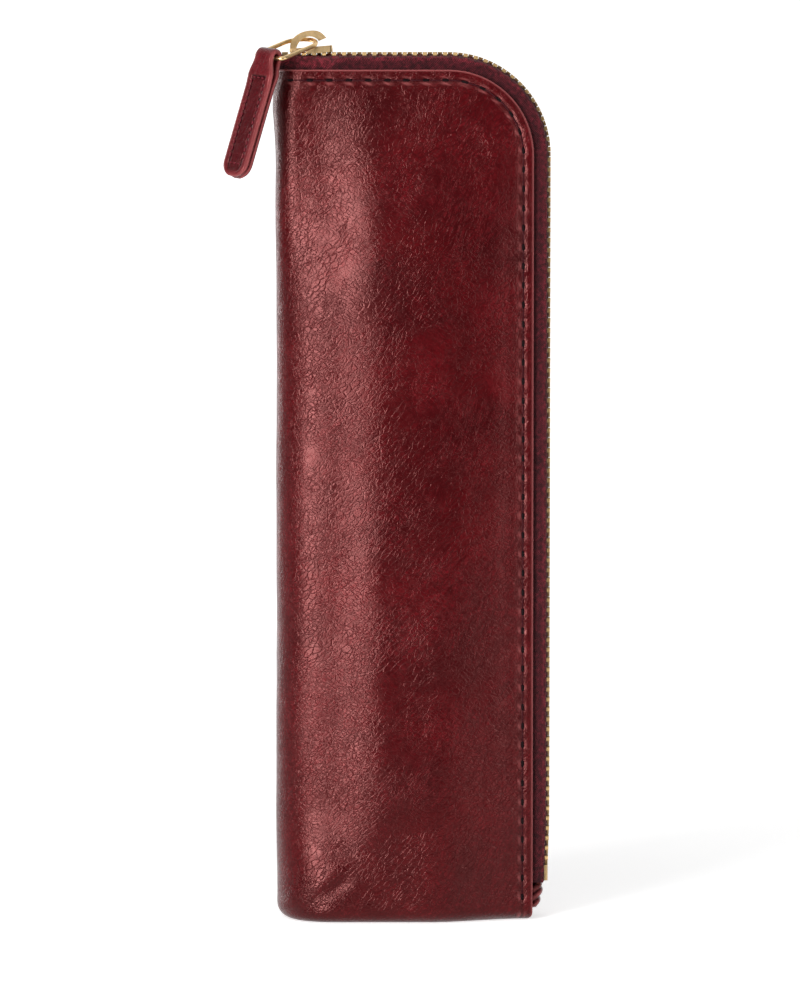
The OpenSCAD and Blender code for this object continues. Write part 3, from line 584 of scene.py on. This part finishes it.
def turned_base(foot, first):
    """The same four of the base: turned under from the skin's foot to the seam groove along its middle."""
    cols = len(foot)
    half = cols//2
    x, y = foot[:half, 0], foot[:half, 1]
    near = np.minimum(1, np.abs(y)/4)
    profile = BASE_PROFILE + [(-share, up, dark) for share, up, dark in BASE_PROFILE[-2::-1]]
    points = np.vstack([np.stack([x, y*share, near*up], axis=1) for share, up, _ in profile])
    lines = [list(range(half))] + (first + np.arange(len(points)).reshape(-1, half)).tolist()
    lines += [list(range(cols - 1, cols - 1 - half, -1))]
    tips = [line[-1] for line in lines]
    faces = strip_faces(lines, flip=True) + [[one, half, two] for one, two in zip(tips, tips[1:])]
    groove = np.repeat([dark for _, _, dark in profile], half)
    return points, faces, groove, 0*groove


def make_leather_case():
    """The skin with its relief, then its cut edge and its base."""
    roll = np.linspace(0, np.pi/2, 9)[:-1]
    wall = np.linspace(ROLL_R, CORNER_Z, 188)
    bend = CORNER_Z + CORNER_R*np.sin(np.linspace(0, np.pi/2, 31)[1:])
    rows_z = np.concatenate([ROLL_R*(1 - np.cos(roll)), wall, bend])
    inset = np.concatenate([ROLL_R*(1 - np.sin(roll)), np.zeros(len(rows_z) - len(roll))])
    grid = wall_grid(rows_z, inset, 44, 12)
    rows, cols = grid.shape[:2]
    x, z = grid[..., 0], grid[..., 2]
    back = np.arange(cols)[None, :] > cols//2
    height = np.where(back, relief(x, z, True), relief(x, z, False))*ease(z/2.5)
    out = outward(grid)
    skin = grid + height[..., None]*out
    d, t = edge_distance(x, z), seam_run(x, z)
    hole = (0.5 + 0.5*np.cos(2*np.pi*t/STITCH_PITCH))**4
    # Painted shade along the seam's groove, deepest at the stitch holes
    groove = bump_at(d - STITCH_IN, 0.36)*(0.6 + 0.4*hole)*np.clip(t/3, 0, 1)
    # Burnish along the free edge, and painted highlights on the lips either side of each stitch hole
    burnish_and_highlight = 0.95*bump_at(np.maximum(0, d - 0.12), 0.18) + 0.95*bump_at(d - 3.0, 0.30)*hole
    burnish_and_highlight += 0.50*bump_at(d - 1.8, 0.25)*hole
    wall_part = skin.reshape(-1, 3), grid_faces(rows, cols), groove.ravel(), burnish_and_highlight.ravel()
    edge_part = cut_edge(grid, out)
    base_part = turned_base(skin[0], rows*cols + len(edge_part[0]))
    points, faces, groove, burnish_and_highlight = zip(wall_part, edge_part, base_part)
    marks = {"groove": np.concatenate(groove), "burnish_and_highlight": np.concatenate(burnish_and_highlight)}
    return make_piece("leather_case", np.vstack(points), sum(faces, []), "case", "leather", CASE_LEATHER,
                      ("leather_shell",), marks)


def make_lining():
    """The lining bag, a plain thin cloth inside the leather."""
    inset_d, trim, floor_z, thickness = 2.3, 1.0, 7.3, 0.35
    z = np.concatenate([[floor_z, floor_z + 1.2], np.linspace(floor_z + 3, CORNER_Z, 14),
                        CORNER_Z + (CORNER_R - trim)*np.sin(np.linspace(0, np.pi/2, 12)[1:])])
    inset = inset_d + np.concatenate([[2.0, 0.6], np.zeros(len(z) - 2)])
    grid = wall_grid(z, inset, 12, 7, trim, np.array([0.0, 1.0]))
    rows, cols = grid.shape[:2]
    half = cols//2
    faces = grid_faces(rows, cols)
    faces += [[q, q + 1, cols - 2 - q, cols - 1 - q] for q in range(half - 1)]
    faces += [[half - 1, half, half + 1]]
    piece = make_piece("lining_bag", grid.reshape(-1, 3), faces, "case", "lining", LINING_CLOTH, ("lining",))
    wall = piece.modifiers.new("cloth", "SOLIDIFY")
    wall.thickness, wall.offset = thickness*MM, -1
    return piece


def seam_line(t, lift, back):
    """Points on a panel's seam at t along it, lift out from the skin."""
    x, z = edge_way(t, SEAM_R, SEAM_TOP, SEAM_BEND)
    y = skin_half(x, z) + lift
    return np.stack([x, y if back else -y, z], axis=1)


def stitch_path(k, back):
    """One stitch of the panel seam: it rises from its slit, lies in the groove and goes down into the next."""
    u = np.linspace(0, 1, 9)
    bow = 0.12*(1 - np.abs(2*u - 1)**3) - 0.25*np.abs(2*u - 1)**8
    return seam_line(k*STITCH_PITCH + STITCH_GAP + u*(STITCH_PITCH - 2*STITCH_GAP), bow - SEAM_SUNK, back)


def slit_path(k, back):
    u = np.linspace(-0.5, 0.5, 7)
    return seam_line(k*STITCH_PITCH + u*SLIT_LEN + 0.08*np.sin(5*k), -SEAM_SUNK, back)


def make_panel_seams():
    last = int((SEAM_LEN - 1)/STITCH_PITCH)
    for back in (False, True):
        side = "back" if back else "front"
        stitches = [tube(stitch_path(k, back), THREAD_R) for k in range(last)]
        make_piece(side + "_seam_thread", *join_tubes(stitches), "case", "thread", PANEL_THREAD,
                   (side + "_stitching",))
        # Dark slits at the stitch holes: painted shade where the thread goes in
        slits = [tube(slit_path(k, back), SLIT_R) for k in range(last + 1)]
        make_piece(side + "_needle_slit_shade", *join_tubes(slits), "case", "thread", SLIT_SHADE)


# The tape's woven part, from its bead to the leather's edge: share of its width, height above the chain's
# middle line, share of the dip beside the slider, and 1 where it stays put when the chain leans in
TAPE_ROWS = [(0.0, TAPE_T/2, 0, 0), (0.15, TAPE_T/2 + 0.02, 0, 0), (0.36, TAPE_T/2, 0, 0), (0.56, 0.27, 0.1, 0),
             (0.70, 0.20, 0.5, 0), (0.82, 0.0, 1.0, 0), (0.92, -0.42, 1.45, 0), (0.975, -0.95, 1.5, 1)]
TAPE_SHADE = [0.9, 0.5, 0.2, 0, 0, 0.2, 0.8, 0.5, 0.1, 0, 0, 0, 0.05, 0.3, 0.8] + [1]*12
SPREAD_END, DIP_END = 6.4, 13.4


def make_tape(side):
    """A tape from its corded bead, over the leather's edge and down inside it. Beside the slider it dips, and
    at the spine it narrows with the case's mouth."""
    end = CHAIN_LEN + TAPE_TAIL
    s = np.concatenate([np.arange(-0.8, end, 0.75), [end]])
    bead = 1.1 + 0.75*ease((SPREAD_END - s)/3.4)
    lean = 0.7*ease((s - CHAIN_LEN + 14)/28)
    dip = ease((DIP_END - s)/2.2)*ease((s + 0.5)/2)
    cord, half_t, middle = BEAD_D/2, TAPE_T/2, CHAIN_R - lean

    def flesh(d):
        """Across to just inside the leather, d in from its free edge."""
        x, z = edge_way(s, CORNER_R - d, TOP_LEN, BEND_LEN)
        return skin_half(x, z)*(1 - pinch(x, z)) - LEATHER_T - 0.12 - 0.03*d

    start = bead + 1.5*cord
    reach = np.maximum(np.minimum(TAPE_REACH, flesh(0.2)), start + 0.3)
    width = reach - start
    # The bead, with the cord's twist, standing out between the clamped teeth
    angles = np.radians([-70, -35, 0, 30, 60, 90, 115])
    twist = [0.05*np.sin(2*np.pi*(s/3.0 + j/7)) for j in range(7)]
    bulge = 1 + 0.25*ease((s - 8.5)/2)*ease((CHAIN_LEN - s)/2)
    loop = [(bead - (cord + w)*np.cos(a), middle + (cord*bulge + w)*np.sin(a)) for w, a in zip(twist, angles)]
    # The woven part that shows
    ribs = 0.015*np.sin(2*np.pi*s/2.3)
    pucker = 0.10*np.sin(2*np.pi*s/3.1)*np.sin(0.7*s)*ease((16 - s)/8)
    loop += [(start + share*width, middle + rise - drop*dip + ribs + pucker*drop + still*lean)
             for share, rise, drop, still in TAPE_ROWS]
    # Down inside the leather, up again behind that, and back below to the bead
    low = middle - 1.0 - 1.5*dip + lean
    legs = [(flesh(d) if d > 0.4 else np.minimum(reach, flesh(d)), np.minimum(low - 0.25, CORNER_R - d) + 0*s)
            for d in (0.4, 2.4, 4.7, TAPE_IN)]
    loop += legs + [(across - TAPE_T, radius) for across, radius in legs[::-1]]
    loop += [(start + 0.80*width - 0.1, low + 0.35), (start + 0.60*width, middle - 0.45 - 0.4*dip),
             (start + 0.36*width, middle - half_t), (start, middle - half_t)]
    points = []
    for across, radius in loop:
        x, z = edge_way(s, radius, TOP_LEN, BEND_LEN)
        points.append(np.stack([x, side*(across + 0*s), z], axis=1))
    grid = np.stack(points, axis=1)
    rows, cols = grid.shape[:2]
    caps = end_caps(rows, cols)
    faces = grid_faces(rows, cols, round_cols=True, flip=side > 0)
    faces += caps if side < 0 else [face[::-1] for face in caps]
    name = "front" if side < 0 else "back"
    return make_piece("zip_tape_cloth_" + name, grid.reshape(-1, 3), faces, "case", "tape", TAPE_CLOTH,
                      ("zip_tape_" + name,), {"groove": np.tile(TAPE_SHADE, rows)})


END_LOW, END_HIGH, TURN_PITCH, TURN_SLANT = 2.25, 8.15, 1.95, 0.52


def make_tape_end():
    """Gathered end of the two tapes, bound in slanting turns below the bottom stop."""
    a = np.linspace(0, 2*np.pi, 45)[:-1]
    oblong_x, oblong_y = [np.sign(f(a))*np.abs(f(a))**0.7 for f in (np.cos, np.sin)]
    loops, turns = [], []
    for z in np.linspace(END_LOW, END_HIGH, 46):
        rise = (z - 2.2)/6
        far = 2.8*mix(0.50, 1.0, rise)
        middle, half_x, half_y = (far - 0.75)/2, (far + 0.75)/2, mix(4.1, 3.3, rise)
        x = middle + half_x*oblong_x
        turn = np.abs(np.sin(np.pi*(z - TURN_SLANT*x + 0.15*np.sin(2*a))/TURN_PITCH))
        ridge = turn**0.55 - 0.75
        x = x + 0.62*ridge*np.maximum(0, oblong_x)
        y = (half_y + 0.45*ridge)*oblong_y
        ends = math.sqrt(max(0.02, 1 - abs((2*z - END_LOW - END_HIGH)/5.95)**6))
        loops.append(np.stack([ZIP_X + middle + (x - middle)*ends, y*ends, z + 0*a], axis=1))
        turns.append(turn)
    rows, cols, turns = len(loops), len(a), np.concatenate(turns)
    faces = grid_faces(rows, cols, round_cols=True) + [cap[::-1] for cap in end_caps(rows, cols)]
    # Painted shade in the furrows between the turns, painted highlight on their ridges
    marks = {"groove": (1 - turns)**2, "burnish_and_highlight": turns**3}
    return make_piece("tape_end_turns", np.vstack(loops), faces, "case", "tape_end", STRAP_LEATHER,
                      ("tape_end_fold",), marks)


def unit(v):
    return v/np.linalg.norm(v)


# Pull tab: one strap bent over the ring, its two layers sewn together. It hangs from the ring's bar
TAB_JOINT = [joint for joint in frame["joints"] if joint["name"] == "tab_swing"][0]
BAR, ACROSS = np.array(TAB_JOINT["pos_m"])/MM, -unit(np.array(TAB_JOINT["axis"]))
HANG = np.array([-8.9, -4.5, -27.9])
DOWN = unit(HANG - (HANG@ACROSS)*ACROSS)
FACE = np.cross(-DOWN, ACROSS)
TAB_L, TAB_HALF, NECK_HALF, TIP_R = 28.6, 3.6, 2.65, 3.3
STRAP_T, JOIN, BORE_R = 1.3, 7.0, 0.75
TAB_SEAM, TAB_SEAM_TOP, TAB_STITCH, TAB_THREAD_R = 1.7, 5.2, 1.6, 0.21
STRAP_ROUND = 0.42
# Sides of the strap: share of the thickness from its face, how far in, and how burnished
SIDE_ROWS = [(0.30, 0.0, 0.85), (0.62, 0.0, 0.85), (0.92, -0.22, 0.2)]


def tab_width(depth):
    """Half the strap's width at a depth below the ring."""
    side = mix(NECK_HALF, TAB_HALF, ease((depth - 0.6)/4.2))
    tip = np.maximum(0, depth - (TAB_L - TIP_R))
    return side - (TIP_R - np.sqrt(np.maximum(0, TIP_R**2 - tip**2)))


def strap_half(depth):
    """From the tab's middle to a face of the strap: its layers part above JOIN to go round the ring."""
    return np.where(depth > JOIN, STRAP_T, mix(BORE_R + STRAP_T, STRAP_T, depth/JOIN))


def tab_path():
    """The strap's outer side as pairs of distance from the tab's middle and depth below the ring, from the tip
    behind, over the ring, to the tip in front."""
    tip = TAB_L - 0.02 - TIP_R*(1 - np.cos(np.linspace(0, np.pi/2, 9)))
    depth = np.unique(np.round(np.concatenate([tip, np.arange(25.0, 0.4, -0.5)]), 3))[::-1]
    half = strap_half(depth)
    a = np.radians(np.arange(0, 181, 12))
    fold = -(BORE_R + STRAP_T)*np.stack([np.cos(a), np.sin(a)], axis=1)
    return np.vstack([np.stack([-half, depth], axis=1), fold, np.stack([half, depth], axis=1)[::-1]])


def make_strap():
    line = tab_path()
    along = np.gradient(line, axis=0)
    along /= np.linalg.norm(along, axis=1)[:, None]
    out = np.stack([-along[:, 1], along[:, 0]], axis=1)
    if out[0, 0] > 0:
        out = -out
    depth = line[:, 1:]
    w = tab_width(np.maximum(0, line[:, 1]))
    thick = STRAP_T*np.sqrt(np.clip((TAB_L - depth)/0.45, 0.12, 1))
    u = np.linspace(-1, 1, 31)
    across = u[None]*(w[:, None] - STRAP_ROUND*0.6)
    # The face: a sewn groove round a sunk panel, with rounded edges
    d = np.minimum(w[:, None] - np.abs(across), TAB_L - depth)
    sewn = depth > 4.6
    long_rows = np.where(sewn, bump_at(d - TAB_SEAM, 0.32), 0)
    top_row = np.where(d > TAB_SEAM - 0.3, bump_at(depth - TAB_SEAM_TOP, 0.32), 0)
    groove = np.maximum(long_rows, top_row)
    panel = np.where(sewn & (d > TAB_SEAM), 1.0, 0.0)
    pucker = 0.5 + 0.5*np.cos(2*np.pi*depth/TAB_STITCH)
    lift = -0.16*groove - 0.10*groove*pucker - 0.12*panel + 0.05*(1 - np.exp(-d/0.5))
    lift += np.where(np.abs(u)[None] > 0.999, -0.10, 0)
    lift -= 0.22*np.exp(-np.maximum(0, d)/0.25)
    points = [(across[:, j], line + lift[:, j:j + 1]*out) for j in range(len(u))]
    # Painted shade in the sewn groove, deepest at the stitches; the sunk panel is darker too
    dark = list((groove*(0.45 + 0.55*pucker) + 0.42*panel).T)
    burnish_and_highlight = list((0.65*np.exp(-np.maximum(0, d)/0.5)).T)
    # One side, the flesh side between the layers, and the other side
    rows = [(w + edge, share, shine) for share, edge, shine in SIDE_ROWS]
    rows += [((0.75 - 0.375*j)*w, 0.985, 0.0) for j in range(5)]
    rows += [(-(w + edge), share, shine) for share, edge, shine in SIDE_ROWS[::-1]]
    for x, share, shine in rows:
        points.append((x, line - share*thick*out))
        dark.append(0*w)
        burnish_and_highlight.append(0*w + shine)
    grid = np.stack([BAR + x[:, None]*ACROSS + p[:, :1]*FACE + p[:, 1:]*DOWN for x, p in points], axis=1)
    rows, cols = grid.shape[:2]
    faces = grid_faces(rows, cols, round_cols=True) + [cap[::-1] for cap in end_caps(rows, cols)]
    marks = {"groove": np.stack(dark, axis=1), "burnish_and_highlight": np.stack(burnish_and_highlight, axis=1)}
    return make_piece("pull_strap", grid.reshape(-1, 3), faces, "tab", "strap", STRAP_LEATHER,
                      ("pull_tab_strap",), marks)


def make_tab_seam():
    """Stitches on both faces of the strap: two long rows, and a short one at each end."""
    side_x = TAB_HALF - TAB_SEAM
    runs = [((side*side_x, z), (side*side_x, z + TAB_STITCH)) for side in (-1, 1)
            for z in np.arange(5.4, 23.6, TAB_STITCH)]
    runs += [((x, z), (x + 1.2, z)) for x in 1.2*np.arange(3) + 0.1 - side_x for z in (5.3, 25.6)]
    u = np.linspace(0, 1, 6)
    tubes = []
    for face in (-1, 1):
        for (x0, z0), (x1, z1) in runs:
            gap = 0.26/max(0.2, math.hypot(x1 - x0, z1 - z0))
            t = gap + u*(1 - 2*gap)
            x, z = mix(x0, x1, t)[:, None], mix(z0, z1, t)[:, None]
            y = face*(strap_half(z) - 0.20 + 0.14*(1 - np.abs(2*u - 1)**3)[:, None])
            tubes.append(tube(BAR + x*ACROSS + y*FACE + z*DOWN, TAB_THREAD_R))
    return make_piece("strap_seam_thread", *join_tubes(tubes), "tab", "tab_thread", STRAP_THREAD,
                      ("pull_tab_stitching",))


make_leather_case()
make_lining()
make_panel_seams()
for tape_side in (-1, 1):
    make_tape(tape_side)
make_tape_end()
make_strap()
make_tab_seam()

# Pieces that keep their solids, with how far their edges are eased, in millimetres
KEPT_SOLIDS = [("zip_teeth_front", FRONT_TOOTH_BRASS, 0.26), ("zip_teeth_back", BACK_TOOTH_BRASS, 0.26),
               ("top_stop_front", STOP_BRASS, 0.14), ("top_stop_back", STOP_BRASS, 0.14),
               ("bottom_stop", STOP_BRASS, 0.38), ("slider_body", SLIDER_BRASS, 0.14),
               ("slider_hook", SLIDER_BRASS, 0.18), ("pull_ring", RING_BRASS, 0.0),
               ("base_seam_stitching", PANEL_THREAD, 0.0)]
for name, material, eased in KEPT_SOLIDS:
    piece = nodes[name]
    piece.data.materials.clear()
    piece.data.materials.append(material)
    if eased:
        bevel = piece.modifiers.new("eased_edges", "BEVEL")
        bevel.width, bevel.segments = eased*MM, 2
        bevel.limit_method, bevel.angle_limit = "ANGLE", math.radians(35)
        bevel.use_clamp_overlap = "teeth" not in name


# Camera at the photograph's angle: the picture's height takes in VIEW_H metres at the case
LOOK_AT = Vector((-0.00103, 0.0, 0.0967))
CAMERA_FAR, CAMERA_LIFT, VIEW_H, SENSOR = 1.35, math.radians(5.0), 0.23, 36.0


def make_camera():
    camera = bpy.data.objects.new("camera", bpy.data.cameras.new("camera"))
    bpy.context.scene.collection.objects.link(camera)
    towards = Vector((0, -math.cos(CAMERA_LIFT), math.sin(CAMERA_LIFT)))
    camera.location = LOOK_AT + CAMERA_FAR*towards
    camera.rotation_mode = "QUATERNION"
    camera.rotation_quaternion = (-towards).to_track_quat("-Z", "Y")
    camera.data.sensor_fit, camera.data.sensor_width = "AUTO", SENSOR
    camera.data.lens = SENSOR*CAMERA_FAR/VIEW_H
    camera.data.clip_start, camera.data.clip_end = 0.05, 20.0
    bpy.context.scene.camera = camera


def add_light(name, azimuth, height, far, size, power):
    """A soft box at an angle round the case, 0 being the camera's side and positive to its right."""
    data = bpy.data.lights.new(name, "AREA")
    data.shape, data.size, data.size_y, data.energy = "RECTANGLE", size[0], size[1], power
    light = bpy.data.objects.new(name, data)
    bpy.context.scene.collection.objects.link(light)
    a = math.radians(azimuth)
    light.location = Vector((far*math.sin(a), -far*math.cos(a), height))
    light.rotation_mode = "QUATERNION"
    light.rotation_quaternion = (Vector((0, 0, 0.1)) - light.location).to_track_quat("-Z", "Y")


def make_stage():
    """White floor, running up behind into a backdrop. It glows only where it is seen, and least by the case."""
    front, back, curve_r, side = -0.26, 1.2, 0.8, 4.0
    profile = [(front, 0.0), (back, 0.0)]
    profile += [(back + curve_r*math.sin(a), curve_r - curve_r*math.cos(a))
                for a in np.radians(np.arange(10, 91, 10))]
    profile += [(back + curve_r, 4.0)]
    points = [(x, y, z - 0.00002) for x in (-side, side) for y, z in profile]
    n = len(profile)
    mesh = bpy.data.meshes.new("white_floor")
    mesh.from_pydata(points, [], [[i, n + i, n + i + 1, i + 1] for i in range(n - 1)])
    floor = bpy.data.objects.new("white_floor", mesh)
    bpy.context.scene.collection.objects.link(floor)
    material = bpy.data.materials.new("white_paper")
    material.use_nodes = True
    material.node_tree.nodes.clear()
    s = Surface(material.node_tree)
    rays = s.add("ShaderNodeLightPath").outputs
    mirrored = s.math("ADD", rays["Is Glossy Ray"], rays["Is Transmission Ray"])
    seen = s.math("ADD", rays["Is Camera Ray"], mirrored, clamp=True)
    place = s.add("ShaderNodeNewGeometry").outputs["Position"]
    far = s.grey(s.vector("LENGTH", {0: place}, "Value"), 0.10, 0.7, 0.66, 1.0)
    paper = s.add("ShaderNodeBsdfDiffuse", {"Color": (0.93, 0.93, 0.93, 1)}).outputs[0]
    glow = s.add("ShaderNodeEmission", {"Color": (1, 1, 1, 1), "Strength": s.math("MULTIPLY", seen, far)})
    both = s.add("ShaderNodeAddShader", {0: paper, 1: glow.outputs[0]}).outputs[0]
    s.add("ShaderNodeOutputMaterial", {"Surface": both})
    mesh.materials.append(material)


def make_world():
    """Faint light all round. It is white to the camera, and to mirrored rays that run away from the camera."""
    world = bpy.data.worlds.new("studio")
    bpy.context.scene.world = world
    world.use_nodes = True
    world.node_tree.nodes.clear()
    s = Surface(world.node_tree)
    rays = s.add("ShaderNodeLightPath").outputs
    behind = s.grey(s.split(s.add("ShaderNodeTexCoord").outputs["Generated"])[1], -0.1, 0.3)
    mirrored = s.math("MULTIPLY", s.math("ADD", rays["Is Glossy Ray"], rays["Is Transmission Ray"]), behind)
    seen = s.math("ADD", rays["Is Camera Ray"], mirrored, clamp=True)
    white = s.math("ADD", s.math("MULTIPLY", seen, 0.90), 0.10)
    glow = s.add("ShaderNodeBackground", {"Color": (1, 1, 1, 1), "Strength": white})
    s.add("ShaderNodeOutputWorld", {"Surface": glow.outputs[0]})


make_camera()
add_light("band_left", azimuth=-32, height=0.18, far=1.0, size=(0.28, 0.70), power=11.4)
add_light("band_right", azimuth=40, height=0.20, far=1.1, size=(0.18, 0.70), power=2.5)
add_light("rim_left", azimuth=-130, height=0.22, far=0.8, size=(0.12, 0.6), power=1.6)
add_light("top_front", azimuth=-8, height=1.20, far=0.62, size=(0.9, 0.7), power=3.4)
make_stage()
make_world()
bpy.context.scene.view_settings.view_transform = "Standard"
